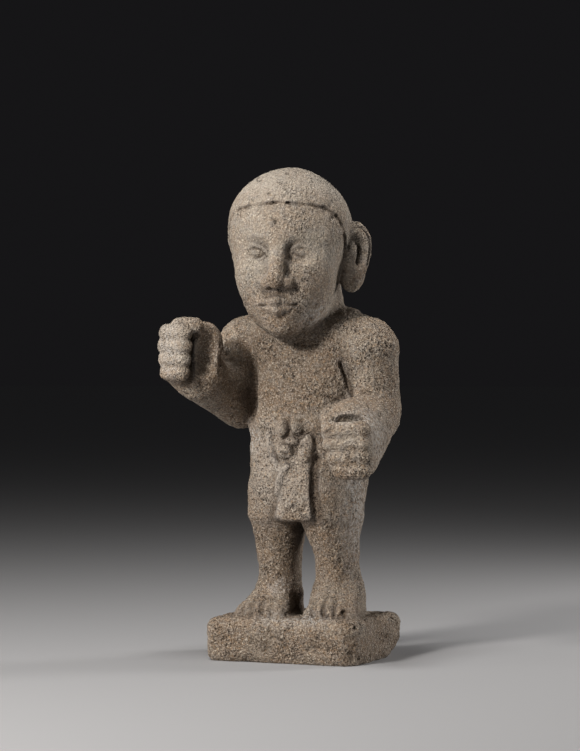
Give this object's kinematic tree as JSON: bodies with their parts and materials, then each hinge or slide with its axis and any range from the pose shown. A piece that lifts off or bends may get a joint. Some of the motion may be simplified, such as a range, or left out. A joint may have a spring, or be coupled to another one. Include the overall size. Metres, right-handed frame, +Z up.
{
  "type": "standing stone figure on a low plinth",
  "caption": "Standing stone figure in a knotted loincloth, one fist raised and one lowered to hold a pole, on a low plinth.",
  "frame": {"origin": "middle of the plinth's flat underside", "axes": "+Z up through the figure, -Y out of the front, +X to the figure's left"},
  "size_m": [0.2243, 0.176, 0.4874],
  "materials": {
    "stone": "dry, finely pitted volcanic stone, pecked and worn"
  },
  "bodies": {
    "root": {"standard_bearer_figure": "stone"}
  },
  "joints": []
}
